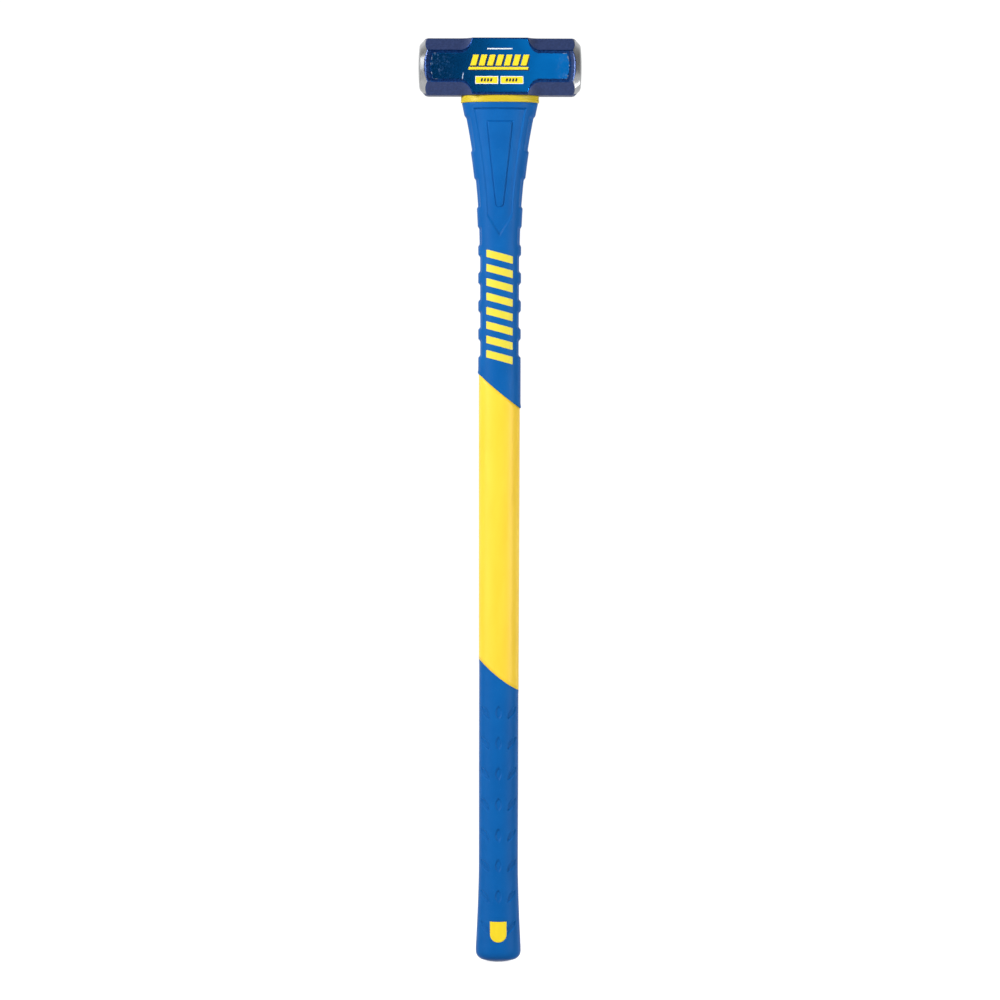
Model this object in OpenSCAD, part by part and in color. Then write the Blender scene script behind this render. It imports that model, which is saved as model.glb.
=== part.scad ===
// Two-handed sledgehammer: forged double-faced head on a moulded fibreglass handle.
// The origin is at the lowest point of the butt. Z runs up the handle to the head,
// X runs along the head from face to face, and -Y is the front.

/* [Head] */
// Overall height, from the butt to the top of the head
total_h = 915; // [880:1:960]
// Length of the head, face to face
head_l = 162; // [150:1:180]
// Height of the head, along the handle
head_h = 56.5; // [52:0.5:60]
// Depth of the head, cheek to cheek
head_w = 49; // [48:0.5:56]
// Leg of the chamfers along the head's long edges
chamfer = 12.6; // [12:0.1:15]
// Distance from the middle at which the chamfers begin to run out
runout_x = 39.3; // [38:0.1:44]
// Radius of the chamfers' run-outs into the square middle block
runout_r = 12.3; // [11:0.1:16]
// Radius of each striking face
face_r = 22; // [20:0.1:23]
// Radius of the crown on each striking face
crown_r = 200; // [180:5:400]
// Bevel round each face: distance back for each millimetre outward
bevel_slope = 0.95; // [0.8:0.05:1.6]

/* [Eye] */
// Half the distance between the centres of the eye's two round ends
eye_off = 5.2; // [4:0.1:7]
// Radius of the eye's round ends at its waist
eye_waist_r = 14; // [13:0.1:15]
// Radius of the eye's round ends at its two mouths
eye_mouth_r = 15.4; // [14.5:0.1:16.5]
// Height of the seal at the foot of the eye
seal_h = 4; // [2:0.5:8]
// Depth of the epoxy's surface below the head's top
epoxy_drop = 2; // [0.5:0.1:4]

/* [Core] */
// Half the distance between the centres of the core's two round ends
core_off = 3.75; // [2:0.05:4]
// Radius of the core's round ends
core_r = 11.25; // [10:0.05:11.5]
// Height of the core's lower end above the butt
core_foot = 16; // [12:1:30]
// Depth of the core's top below the head's top
core_drop = 1.4; // [0.5:0.1:4]

/* [Collar] */
// Height of the collar under the head
collar_h = 7; // [5:0.5:10]
// Half width of the collar
collar_a = 38.9; // [38:0.1:41]
// Half depth of the collar
collar_b = 22.8; // [22:0.1:24]

/* [Handle] */
// Half width of the jacket where it shows
jacket_a = 20.1; // [19.5:0.1:20.2]
// Half width of the overstrike sleeve below its flare
sleeve_a = 21.3; // [20.6:0.1:21.5]
// Half width of the grip at its narrowest
grip_a = 19.4; // [19:0.1:19.6]
// Half width of the butt at its widest
butt_a = 22.3; // [21:0.1:23]
// Height above the butt at which the grip begins to swell
swell_z = 95; // [90:1:100]
// How much less the half depth is than the half width
flatten = 3.5; // [3:0.1:4]
// Thickness of the sleeve and grip over the jacket
skin = 3; // [2.5:0.1:3.2]
// Roundness of the oval section: 2 is an ellipse, more is squarer
section_power = 2.3; // [2:0.1:3]

/* [Flare] */
// Length over which the sleeve flares out to the collar
flare_l = 149; // [120:1:170]
// Extra half width of the sleeve at its top
flare_a = 16.6; // [14:0.1:17]
// Extra half depth of the sleeve at its top
flare_b = 4.8; // [3:0.1:5]

/* [Notches] */
// Depth of the side notches below the flare
notch_depth = 2; // [1:0.1:2.3]
// Depth of the side notches on the flare
flare_notch_depth = 1.3; // [0.8:0.1:2]
// Length of a notch's sloped flank
flank = 2.8; // [1.5:0.1:4]
// Number of even notches below the flare
notch_count = 4; // [1:1:4]
// Distance from one even notch to the next
notch_pitch = 27.8; // [26:0.1:28]
// Length of an even notch
notch_l = 19.2; // [12:0.1:20]

/* [Colour break] */
// Height of the sleeve's slanted lower edge at the middle
upper_break = 564.5; // [560:0.5:570]
// Height of the grip's slanted upper edge at the middle
lower_break = 282.6; // [275:0.1:300]
// Fall of the upper edge from the left to the right side
upper_fall = 32.5; // [20:0.5:36]
// Fall of the lower edge from the left to the right side
lower_fall = 31; // [20:0.5:36]
// Sag of the upper edge at the middle
upper_sag = 1.3; // [0:0.1:3]
// Sag of the lower edge at the middle
lower_sag = 3; // [0:0.1:5]

/* [Marks] */
// Half width of the inlay column in the sleeve
inlay_x = 13.2; // [8:0.1:14]
// Height of the inlay column's top above the butt
inlay_top = 706; // [700:0.5:710]
// Height of the inlay column's foot above the butt
inlay_foot = 592; // [588:0.5:600]
// Number of slanted bars in the inlay column
inlay_bars = 8; // [2:1:9]
// Height of an inlay bar
bar_h = 7.6; // [3:0.1:8]
// Rise of an inlay bar from one side to the other
bar_rise = 7; // [2:0.5:8]
// Half width of the butt window
window_x = 8.4; // [5:0.1:9]
// Height of the window's flat top above the butt
window_top = 41; // [36:0.5:44]
// Height of the window's lowest point above the butt
window_foot = 20; // [17:0.5:22]
// Thickness of the printed labels on the cheeks
label_t = 0.12; // [0.1:0.01:0.3]

/* [Hidden] */
$fn = 64;

// Facets round every oval section
SIDES = 48;
// Reach of a cutting shape past the surface that it cuts
PAST = 1;
FRONT = -1;
BACK = 1;

// Where the side notches start and the width over which they deepen, as shares of the
// half width
FADE_START = 0.64;
FADE_SPAN = 0.12;
// Level at which the butt is widest, and how quickly the grip swells down to it
SWELL_FOOT = 15;
SWELL_POWER = 1.5;

head_z = total_h - head_h;
head_mid = total_h - head_h / 2;
collar_z = head_z - collar_h;
flare_end = collar_z - flare_l;

paint_blue = [0.08, 0.20, 0.42];
soft_blue = [0.10, 0.40, 0.70];
bright_yellow = [0.99, 0.86, 0.20];
resin = [0.76, 0.68, 0.45];

// ---- Helpers -------------------------------------------------------------------------

// A surface through a list of rings. It is capped at both ends, or joined end to end when
// it is a tube. Every square splits along the same diagonal, so two neighbours built on
// the same rings share their faces exactly.
module loft(rings, tube = false, inward = false) {
    count = len(rings);
    spans = tube ? count : count - 1;
    walls = [for (r = [0:spans - 1], s = [0:SIDES - 1])
        let (next = (r + 1) % count, t = (s + 1) % SIDES,
             a = r * SIDES + s, b = r * SIDES + t,
             c = next * SIDES + t, d = next * SIDES + s)
        each [[a, b, c], [a, c, d]]];
    caps = tube ? [] : [[for (s = [SIDES - 1:-1:0]) s],
                        [for (s = [0:SIDES - 1]) (count - 1) * SIDES + s]];
    faces = concat(walls, caps);
    polyhedron(points = [for (ring = rings) each ring],
               faces = inward ? [for (f = faces) [for (i = [len(f) - 1:-1:0]) f[i]]] : faces);
}

// A box between two heights, wide enough to hold the whole head
module slab(low, high) {
    translate([-head_l / 2, -head_w / 2, low]) cube([head_l, head_w, high - low]);
}

// A flat shape drawn in X and Z, stretched through the front or the back of the handle
module through(side, depth) {
    translate([0, side == FRONT ? 0 : depth, 0]) rotate([90, 0, 0]) linear_extrude(depth)
        children();
}

function clamp01(v) = min(1, max(0, v));
function mix(p, q, s) = p + (q - p) * s;
function bend(v) = sign(v) * pow(abs(v), 2 / section_power);
function turn(s) = 360 * s / SIDES;

// ---- Outlines of the handle ----------------------------------------------------------

// One point of an oval section
function oval(a, b, s, z) = [a * bend(cos(turn(s))), b * bend(sin(turn(s))), z];
function ring(a, b, z) = [for (s = [0:SIDES - 1]) oval(a, b, s, z)];

// Share of the flare left at a height, 1 at the collar and 0 below the flare
function flare(z) = pow(clamp01((z - flare_end) / flare_l), 2);

// Height of a slanted colour break at a distance x from the middle
function break_z(x, mid, fall, sag) = mid - fall * x / (2 * jacket_a)
    + sag * pow(x / jacket_a, 2);
function upper_cut(x) = break_z(x, upper_break, upper_fall, upper_sag);
function lower_cut(x) = break_z(x, lower_break, lower_fall, lower_sag);

// The notches down each side of the sleeve, as top and bottom heights
flare_notches = [[839, 802.2], [777.6, 746.4], [729.5, 708.9]];
first_notch = 701.4;
even_notches = [for (i = [0:notch_count - 1])
    [first_notch - i * notch_pitch, first_notch - i * notch_pitch - notch_l]];
notches = concat(flare_notches, even_notches);

// Depth of the notch at a height, zero on the pads between
function notch_in(n, z) = clamp01(min(n[0] - z, z - n[1]) / flank)
    * (n[0] > flare_end ? flare_notch_depth : notch_depth);
function notch_at(z) = max([for (n = notches) notch_in(n, z)]);
// The notches only wrap round the narrow sides
function at_side(s) = clamp01((abs(cos(turn(s))) - FADE_START) / FADE_SPAN);

function sleeve_point(s, z) =
    let (cut = notch_at(z) * at_side(s))
    oval(sleeve_a + flare_a * flare(z) - cut, sleeve_a - flatten + flare_b * flare(z) - cut, s, z);

// The jacket where a sleeve or the grip covers it. It flares with the sleeve.
stem_a = sleeve_a - skin - 0.3;
stem_b = stem_a - flatten;
stem_flare_a = flare_a - 2;
stem_flare_b = flare_b - 2;
function stem_point(s, z) = oval(stem_a + stem_flare_a * flare(z),
                                 stem_b + stem_flare_b * flare(z), s, z);
tail_a = grip_a - skin + 0.5;
tail_b = tail_a - flatten;
tail_foot = 6;

// Heights of the stem's rings, from just above the colour break to the collar
stem_levels = [for (i = [0:9]) mix(flare_end - 60, collar_z, i / 9)];
stem_rings = concat([[for (s = [0:SIDES - 1])
    let (p = stem_point(s, 0)) [p[0], p[1], upper_cut(p[0])]]],
    [for (z = stem_levels) [for (s = [0:SIDES - 1]) stem_point(s, z)]]);
tail_rings = [ring(tail_a, tail_b, tail_foot), [for (p = ring(tail_a, tail_b, 0))
    [p[0], p[1], lower_cut(p[0])]]];

// ---- Head ----------------------------------------------------------------------------

// Removes one long edge of the block, from its run-out to the end
module edge_cutter() {
    flat = (head_w / 2 + head_h / 2 - chamfer) / sqrt(2);
    reach = chamfer * 1.5;
    rotate([-45, 0, 0]) translate([runout_x, 0, flat]) {
        translate([0, -reach, 0]) cube([head_l, 2 * reach, 2 * reach]);
        translate([0, 0, runout_r]) rotate([90, 0, 0])
            cylinder(h = 2 * reach, r = runout_r, center = true);
    }
}

module block() {
    difference() {
        cube([head_l, head_w, head_h], center = true);
        for (x = [0, 1], y = [0, 1], z = [0, 1])
            mirror([x, 0, 0]) mirror([0, y, 0]) mirror([0, 0, z]) edge_cutter();
    }
}

// The turned shape of both ends: bevels and crowned faces
module turned_ends() {
    crown_drop = crown_r - sqrt(pow(crown_r, 2) - pow(face_r, 2));
    bevel_r = face_r - crown_drop / bevel_slope;
    far_r = head_h;
    far_x = head_l / 2 - bevel_slope * (far_r - bevel_r);
    intersection() {
        rotate([0, 90, 0]) rotate_extrude() polygon([[0, -head_l / 2], [bevel_r, -head_l / 2],
            [far_r, -far_x], [far_r, far_x], [bevel_r, head_l / 2], [0, head_l / 2]]);
        for (x = [-1, 1]) translate([x * (head_l / 2 - crown_r), 0, 0]) sphere(crown_r);
    }
}

// Space of the eye, a round-ended slot that narrows to a waist
module eye_space() {
    mouth_r = eye_mouth_r + (eye_mouth_r - eye_waist_r) * PAST / (head_h / 2);
    half = head_h / 2 + PAST;
    translate([0, 0, head_mid]) for (flip = [0, 1]) mirror([0, 0, flip]) {
        for (x = [-1, 1]) translate([x * eye_off, 0, 0])
            cylinder(h = half, r1 = eye_waist_r, r2 = mouth_r);
        translate([-eye_off, 0, 0]) rotate([90, 0, 90]) linear_extrude(2 * eye_off)
            polygon([[-eye_waist_r, 0], [eye_waist_r, 0], [mouth_r, half], [-mouth_r, half]]);
    }
}

module head() {
    color(paint_blue) difference() {
        translate([0, 0, head_mid]) intersection() {
            block();
            turned_ends();
        }
        eye_space();
    }
}

// ---- Bond and core -------------------------------------------------------------------

module core_space(low, high) {
    translate([0, 0, low]) linear_extrude(high - low) {
        for (x = [-1, 1]) translate([x * core_off, 0]) circle(core_r);
        square([2 * core_off, 2 * core_r], center = true);
    }
}

module eye_filling(low, high) {
    difference() {
        intersection() {
            eye_space();
            slab(low, high);
        }
        core_space(low - PAST, high + PAST);
    }
}

module eye_epoxy() {
    color(resin) eye_filling(head_z + seal_h, total_h - epoxy_drop);
}

module eye_seal() {
    color("dimgray") eye_filling(head_z, head_z + seal_h);
}

module fibreglass_core() {
    color(resin) core_space(core_foot, total_h - core_drop);
}

// ---- Handle --------------------------------------------------------------------------

module handle_jacket() {
    shown = [for (z = [lower_cut(0), upper_cut(0)]) ring(jacket_a, jacket_a - flatten, z)];
    shown_low = [for (p = shown[0]) [p[0], p[1], lower_cut(p[0])]];
    shown_high = [for (p = shown[1]) [p[0], p[1], upper_cut(p[0])]];
    color(bright_yellow) difference() {
        loft(concat(tail_rings, [shown_low, shown_high], stem_rings));
        core_space(core_foot, collar_z + PAST);
    }
}

module shoulder_collar() {
    rim = 0.8;
    color(bright_yellow) difference() {
        loft([ring(collar_a - rim, collar_b - rim, collar_z),
              ring(collar_a, collar_b, collar_z + rim),
              ring(collar_a, collar_b, collar_z + collar_h / 2),
              ring(collar_a - rim / 2, collar_b - rim / 2, head_z)]);
        core_space(collar_z - PAST, head_z + PAST);
    }
}

// The whole sleeve as one tube, before its inlays are let in
module sleeve_blank() {
    levels = concat([collar_z], [for (n = notches)
        each [n[0], n[0] - flank, (n[0] + n[1]) / 2, n[1] + flank, n[1]]]);
    outside = [for (z = levels) [for (s = [0:SIDES - 1]) sleeve_point(s, z)]];
    foot = [for (s = [0:SIDES - 1]) let (p = sleeve_point(s, 0)) [p[0], p[1], upper_cut(p[0])]];
    loft(concat(stem_rings, outside, [foot]), tube = true);
}

// The column of slanted bars, drawn flat in X and Z
module inlay_outline() {
    pitch = (inlay_top - inlay_foot - bar_rise - bar_h) / (inlay_bars - 1);
    for (i = [0:inlay_bars - 1]) translate([0, inlay_top - i * pitch])
        polygon([[-inlay_x, 0], [-inlay_x, -bar_h], [inlay_x, -bar_h - bar_rise],
                 [inlay_x, -bar_rise]]);
}

module inlay_cutter(side) {
    through(side, 2 * sleeve_a) inlay_outline();
}

module overstrike_sleeve() {
    color(soft_blue) difference() {
        sleeve_blank();
        inlay_cutter(FRONT);
        inlay_cutter(BACK);
    }
}

module sleeve_inlay(side) {
    color(bright_yellow) intersection() {
        sleeve_blank();
        inlay_cutter(side);
    }
}

module sleeve_inlay_front() {
    sleeve_inlay(FRONT);
}

module sleeve_inlay_back() {
    sleeve_inlay(BACK);
}

// Half width of the grip at a height: straight, then swelling to the butt
function grip_half(z) = grip_a + (butt_a - grip_a)
    * pow(clamp01((swell_z - z) / (swell_z - SWELL_FOOT)), SWELL_POWER);

// The grip as one cup: up the inside, over the rim, down the outside and under the butt
module grip_blank() {
    corner_r = 9;
    dome_r = 52;
    hub = butt_a - corner_r;
    corner_z = dome_r - sqrt(pow(dome_r - corner_r, 2) - pow(hub, 2));
    dome_turn = atan(hub / (dome_r - corner_z));
    depth_ratio = (butt_a - flatten) / butt_a;
    even_z = 240;
    rim = [for (p = ring(grip_a, grip_a - flatten, 0)) [p[0], p[1], lower_cut(p[0])]];
    levels = concat([even_z], [for (i = [0:6]) mix(swell_z, SWELL_FOOT, i / 6)]);
    swell = [for (z = levels) ring(grip_half(z), grip_half(z) - flatten, z)];
    corner = [for (i = [0:4]) let (t = i * (90 - dome_turn) / 4, r = hub + corner_r * cos(t))
        ring(r, r * depth_ratio, corner_z - corner_r * sin(t))];
    dome = [for (i = [1:3]) let (t = dome_turn * (1 - i / 3.2), r = dome_r * sin(t))
        ring(r, r * depth_ratio, dome_r * (1 - cos(t)))];
    foot = [ring(0.5, 0.5 * depth_ratio, 0)];
    loft(concat(tail_rings, [rim], swell, corner, dome, foot), inward = true);
}

// A window with a flat top and a round foot, drawn flat in X and Z
module window_outline() {
    centre = window_foot + window_x;
    translate([0, centre]) circle(window_x);
    translate([-window_x, centre]) square([2 * window_x, window_top - centre]);
}

module window_cutter(side) {
    through(side, 2 * butt_a) window_outline();
}

module grip_sleeve() {
    color(soft_blue) difference() {
        grip_blank();
        window_cutter(FRONT);
        window_cutter(BACK);
    }
}

module butt_window(side) {
    color(bright_yellow) intersection() {
        grip_blank();
        window_cutter(side);
    }
}

module butt_window_front() {
    butt_window(FRONT);
}

module butt_window_back() {
    butt_window(BACK);
}

// ---- Cheek labels --------------------------------------------------------------------

// A slanted bar of a cheek label, by its left foot
module slash(w, h, lean) {
    polygon([[0, 0], [w, 0], [w + lean, h], [lean, h]]);
}

// The printed marks, drawn flat in X and Z round the cheek's centre
module label_outline() {
    // Row of slanted bars over a long rule
    row = [-29.5, 2.4];
    pitch = 8.3;
    for (i = [0:6]) translate(row + [i * pitch, 0]) slash(5.6, 10.7, 3);
    translate([-31.5, -1.7]) slash(59, 2.6, 0.7);
    // Short rule near the top
    translate([-12.8, 18.4]) square([25, 1.6]);
    // Two boxes side by side
    box = [22.7, 7.7];
    for (x = [-24.5, 0.4]) translate([x, -15.8]) square(box);
}

module cheek_label(side) {
    face = side * head_w / 2;
    color(bright_yellow)
        translate([0, side == FRONT ? face : face + label_t, head_mid]) rotate([90, 0, 0])
        linear_extrude(label_t) label_outline();
}

module cheek_label_front() {
    cheek_label(FRONT);
}

module cheek_label_back() {
    cheek_label(BACK);
}

head();
eye_epoxy();
eye_seal();
fibreglass_core();
handle_jacket();
shoulder_collar();
overstrike_sleeve();
sleeve_inlay_front();
sleeve_inlay_back();
grip_sleeve();
butt_window_front();
butt_window_back();
cheek_label_front();
cheek_label_back();
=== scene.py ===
"""Looks of a two-handed sledgehammer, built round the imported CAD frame.

Lengths are in millimetres until a mesh is made, and in metres in the shaders. Z runs up
the handle, X along the head and -Y is the front, as in the CAD.
"""
import math

import bmesh
import bpy
import mathutils
import numpy as np
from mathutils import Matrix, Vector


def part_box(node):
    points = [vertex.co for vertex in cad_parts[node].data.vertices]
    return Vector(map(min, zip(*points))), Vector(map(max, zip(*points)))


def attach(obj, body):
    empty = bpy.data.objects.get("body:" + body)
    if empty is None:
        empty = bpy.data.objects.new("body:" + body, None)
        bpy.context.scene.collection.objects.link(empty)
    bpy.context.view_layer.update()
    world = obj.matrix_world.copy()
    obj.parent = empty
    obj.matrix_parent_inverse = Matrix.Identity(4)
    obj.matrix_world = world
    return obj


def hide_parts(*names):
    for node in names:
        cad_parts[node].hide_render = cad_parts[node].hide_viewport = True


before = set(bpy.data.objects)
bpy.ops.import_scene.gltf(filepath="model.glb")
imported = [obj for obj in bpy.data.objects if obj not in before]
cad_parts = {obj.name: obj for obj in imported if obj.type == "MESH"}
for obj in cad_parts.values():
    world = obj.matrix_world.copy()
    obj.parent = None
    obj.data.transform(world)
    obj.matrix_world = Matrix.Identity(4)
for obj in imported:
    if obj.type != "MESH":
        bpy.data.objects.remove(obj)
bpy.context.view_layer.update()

M = 0.001
FRONT, BACK = -1, 1


def node_box(node):
    """A CAD node's lowest and highest corners, in millimetres."""
    low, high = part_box(node)
    return np.array(low) / M, np.array(high) / M


head_low, head_high = node_box("head")
collar_low, collar_high = node_box("shoulder_collar")
grip_high = node_box("grip_sleeve")[1]
jacket_low = node_box("handle_jacket")[0]
inlay_low, inlay_high = node_box("sleeve_inlay_front")
window_low, window_high = node_box("butt_window_front")

HEAD_L, HEAD_W, HEAD_H = head_high - head_low
HEAD_MID = (head_low[2] + head_high[2]) / 2

# Round stretches of the head, as in the CAD
CHAMFER = 12.6
RUNOUT_X, RUNOUT_R = 39.3, 12.3
FACE_R, CROWN_R, BEVEL_SLOPE = 22.0, 200.0, 0.95
EYE_OFF, EYE_WAIST_R, EYE_MOUTH_R = 5.2, 14.0, 15.4

# Handle outlines, as in the CAD
SECTION_POWER = 2.3
FLATTEN = 3.5
SLEEVE_A, FLARE_A, FLARE_B, FLARE_L = 21.3, 16.6, 4.8, 149.0
COLLAR_Z = collar_low[2]
FLARE_END = COLLAR_Z - FLARE_L
BREAK_A = 20.1
UPPER_BREAK, UPPER_FALL, UPPER_SAG = 564.5, 32.5, 1.3
LOWER_BREAK, LOWER_FALL, LOWER_SAG = 282.6, 31.0, 3.0
GRIP_A, BUTT_A = 19.4, grip_high[0]
WINDOW_X = window_high[0]
WINDOW_FOOT, WINDOW_TOP = window_low[2], window_high[2]
# The sleeve narrows slightly below NARROW_Z, the jacket widens above JACKET_Z, and the grip
# widens slightly above EASE_Z and swells to the butt below SWELL_Z
NARROW, NARROW_Z, NARROW_L = 0.25, 690, 90
JACKET_A, JACKET_WIDER, JACKET_Z, JACKET_L = 19.75, 0.6, 290, 250
EASE, EASE_Z, EASE_L = 0.1, 130, 60
SWELL_Z, SWELL_L, SWELL_POWER = 95, 80, 1.5
# Half width and half depth of the core's bore in the jacket
BORE_A, BORE_B = 15.0, 11.25

# Half width and half depth of the jacket where the sleeve and the grip cover it
STEM_A, STEM_FLARE_A, STEM_FLARE_B = SLEEVE_A - 3.3, FLARE_A - 2, FLARE_B - 2
STEM_B = STEM_A - FLATTEN
TAIL_A = GRIP_A - 2.5
TAIL_B = TAIL_A - FLATTEN
TAIL_FOOT = 6.0
GAP = 0.1


# ---- Small maths --------------------------------------------------------------------


def smooth(v):
    """An S curve from 0 to 1."""
    v = np.clip(v, 0, 1)
    return v * v * (3 - 2 * v)


def smooth_max(a, b, k):
    """The larger of two distances, rounded off within k of where they are equal."""
    return np.maximum(a, b) + k / 4 * np.clip(1 - np.abs(a - b) / k, 0, 1) ** 2


def solve(field, low, high, steps=40):
    """Where a rising field crosses zero between low and high, by halving."""
    for _ in range(steps):
        middle = (low + high) / 2
        out = field(middle) > 0
        high = np.where(out, middle, high)
        low = np.where(out, low, middle)
    return (low + high) / 2


# ---- Meshes -------------------------------------------------------------------------


def make_piece(name, verts, faces, node, materials, face_material=None, fields=None):
    """A smooth closed mesh from millimetre points. It rides on the root body and stands
    for a CAD node. fields are numbers kept on each vertex for the shaders."""
    mesh = bpy.data.meshes.new(name)
    mesh.from_pydata((np.asarray(verts) * M).tolist(), [], faces)
    for key, values in (fields or {}).items():
        layer = mesh.attributes.new(key, "FLOAT", "POINT")
        layer.data.foreach_set("value", np.asarray(values, dtype=np.float32))
    for material in materials:
        mesh.materials.append(material)
    if face_material is not None:
        mesh.polygons.foreach_set("material_index", face_material)
    work = bmesh.new()
    work.from_mesh(mesh)
    bmesh.ops.recalc_face_normals(work, faces=work.faces)
    work.to_mesh(mesh)
    work.free()
    mesh.polygons.foreach_set("use_smooth", [True] * len(mesh.polygons))
    mesh.update()
    piece = bpy.data.objects.new(name, mesh)
    bpy.context.scene.collection.objects.link(piece)
    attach(piece, "root")
    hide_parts(node)
    return piece


def strip(rows, first=0, joined=False):
    """Four-sided faces through rows of points that go round. rows is (how many, points in
    each). joined also ties the last row to the first."""
    count, sides = rows
    last = count if joined else count - 1
    faces = []
    for r in range(last):
        a = first + r * sides
        b = first + ((r + 1) % count) * sides
        for s in range(sides):
            t = (s + 1) % sides
            faces.append((a + s, a + t, b + t, b + s))
    return faces


def fan(row_start, sides, tip):
    """Triangles from a row of points to one point."""
    return [(row_start + s, row_start + (s + 1) % sides, tip) for s in range(sides)]


# ---- Handle surfaces ----------------------------------------------------------------


def turns(sides):
    return np.arange(sides) * 2 * math.pi / sides


def bend(v):
    return np.sign(v) * np.abs(v) ** (2 / SECTION_POWER)


def oval(a, b, t, z, lift=None):
    """Points of oval sections. lift moves each one out along the section's normal."""
    x, y, z = np.broadcast_arrays(a * bend(np.cos(t)), b * bend(np.sin(t)), z)
    if lift is not None:
        nx = np.sign(x) * np.abs(x / a) ** (SECTION_POWER - 1) / a
        ny = np.sign(y) * np.abs(y / b) ** (SECTION_POWER - 1) / b
        size = np.hypot(nx, ny)
        x, y = x + lift * nx / size, y + lift * ny / size
    return np.stack([x, y, z], axis=-1)


def depth_at(x, a, b):
    """Half depth of an oval section at a distance x from the middle."""
    return b * np.clip(1 - np.abs(x / a) ** SECTION_POWER, 0, 1) ** (1 / SECTION_POWER)


def break_z(x, middle, fall, sag):
    """Height of a slanted colour break."""
    return middle - fall * x / (2 * BREAK_A) + sag * (x / BREAK_A) ** 2


def flare(z):
    return np.clip((z - FLARE_END) / FLARE_L, 0, 1) ** 2


def sleeve_half(z):
    """Half width and half depth of the sleeve, without its relief."""
    narrowing = NARROW * smooth((NARROW_Z - z) / NARROW_L)
    a = SLEEVE_A + FLARE_A * flare(z) - narrowing
    return a, SLEEVE_A - FLATTEN + FLARE_B * flare(z) - narrowing


def jacket_half(z):
    """Half width and half depth of the yellow jacket, which tapers slightly downward."""
    a = JACKET_A + JACKET_WIDER * np.clip((z - JACKET_Z) / JACKET_L, 0, 1)
    return a, a - FLATTEN


def grip_half(z):
    """Half width and half depth of the grip, which swells to the butt."""
    a = GRIP_A + EASE * smooth((z - EASE_Z) / EASE_L)
    a = a + (BUTT_A - GRIP_A) * np.clip((SWELL_Z - z) / SWELL_L, 0, 1) ** SWELL_POWER
    return a, a - FLATTEN


def shaped_tube(name, outside, inside, node, material):
    """A closed tube from its outer and inner rows, both from the top down."""
    rows = np.concatenate([outside, inside[::-1]])
    count, sides = rows.shape[:2]
    faces = strip((count, sides), joined=True)
    return make_piece(name, rows.reshape(-1, 3), faces, node, [material])


# ---- Shaders ------------------------------------------------------------------------


class Shader:
    """A material's nodes, with short calls for the ones that this scene uses."""

    def __init__(self, name, **values):
        self.material = bpy.data.materials.new(name)
        self.material.use_nodes = True
        self.nodes = self.material.node_tree.nodes
        self.links = self.material.node_tree.links
        self.surface = self.nodes["Principled BSDF"]
        coordinates = self.nodes.new("ShaderNodeTexCoord")
        self.place = coordinates.outputs["Object"]
        for key, value in values.items():
            self.put(self.surface.inputs[key.replace("_", " ")], value)

    def put(self, socket, value):
        """Sets a socket to a number or colour, or links it to an output."""
        if isinstance(value, bpy.types.NodeSocket):
            self.links.new(value, socket)
        elif isinstance(value, tuple) and len(value) == 3 and socket.type == "RGBA":
            socket.default_value = (*value, 1)
        else:
            socket.default_value = value

    def set(self, socket, value):
        self.put(self.surface.inputs[socket], value)

    def maths(self, operation, a, b=0.0):
        node = self.nodes.new("ShaderNodeMath")
        node.operation = operation
        self.put(node.inputs[0], a)
        self.put(node.inputs[1], b)
        return node.outputs[0]

    def times(self, a, b):
        return self.maths("MULTIPLY", a, b)

    def field(self, name):
        """A number kept on the mesh's vertices."""
        node = self.nodes.new("ShaderNodeAttribute")
        node.attribute_name = name
        return node.outputs["Fac"]

    def split(self):
        """The point's x, y and z, in metres."""
        node = self.nodes.new("ShaderNodeSeparateXYZ")
        self.put(node.inputs[0], self.place)
        return node.outputs

    def join(self, x, y, z):
        node = self.nodes.new("ShaderNodeCombineXYZ")
        for socket, value in zip(node.inputs, (x, y, z)):
            self.put(socket, value)
        return node.outputs[0]

    def stretched(self, scale):
        """The point's place, scaled along each axis."""
        node = self.nodes.new("ShaderNodeMapping")
        self.put(node.inputs["Vector"], self.place)
        node.inputs["Scale"].default_value = scale
        return node.outputs[0]

    def noise(self, scale, detail=2.0, roughness=0.5, place=None):
        node = self.nodes.new("ShaderNodeTexNoise")
        self.put(node.inputs["Vector"], self.place if place is None else place)
        node.inputs["Scale"].default_value = scale
        node.inputs["Detail"].default_value = detail
        node.inputs["Roughness"].default_value = roughness
        return node.outputs["Fac"]

    def range(self, value, low, high, to_low=0.0, to_high=1.0):
        """value, taken smoothly from one range to another and held at its ends."""
        node = self.nodes.new("ShaderNodeMapRange")
        node.interpolation_type = "SMOOTHSTEP"
        self.put(node.inputs["Value"], value)
        for key, number in (("From Min", low), ("From Max", high),
                            ("To Min", to_low), ("To Max", to_high)):
            self.put(node.inputs[key], number)
        return node.outputs["Result"]

    def blend(self, share, a, b):
        """Colours a and b, mixed by share."""
        node = self.nodes.new("ShaderNodeMix")
        node.data_type = "RGBA"
        self.put(node.inputs[0], share)
        self.put(node.inputs[6], a)
        self.put(node.inputs[7], b)
        return node.outputs[2]

    def mixed(self, share, a, b):
        """Numbers a and b, mixed by share."""
        node = self.nodes.new("ShaderNodeMix")
        node.data_type = "FLOAT"
        self.put(node.inputs[0], share)
        self.put(node.inputs[2], a)
        self.put(node.inputs[3], b)
        return node.outputs[0]

    def bump(self, height, distance, strength=1.0, normal=None):
        """Relief in the shading. distance is how far a height of 1 stands out, in metres."""
        node = self.nodes.new("ShaderNodeBump")
        node.inputs["Distance"].default_value = distance
        self.put(node.inputs["Strength"], strength)
        self.put(node.inputs["Height"], height)
        if normal is not None:
            self.put(node.inputs["Normal"], normal)
        return node.outputs[0]


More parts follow.
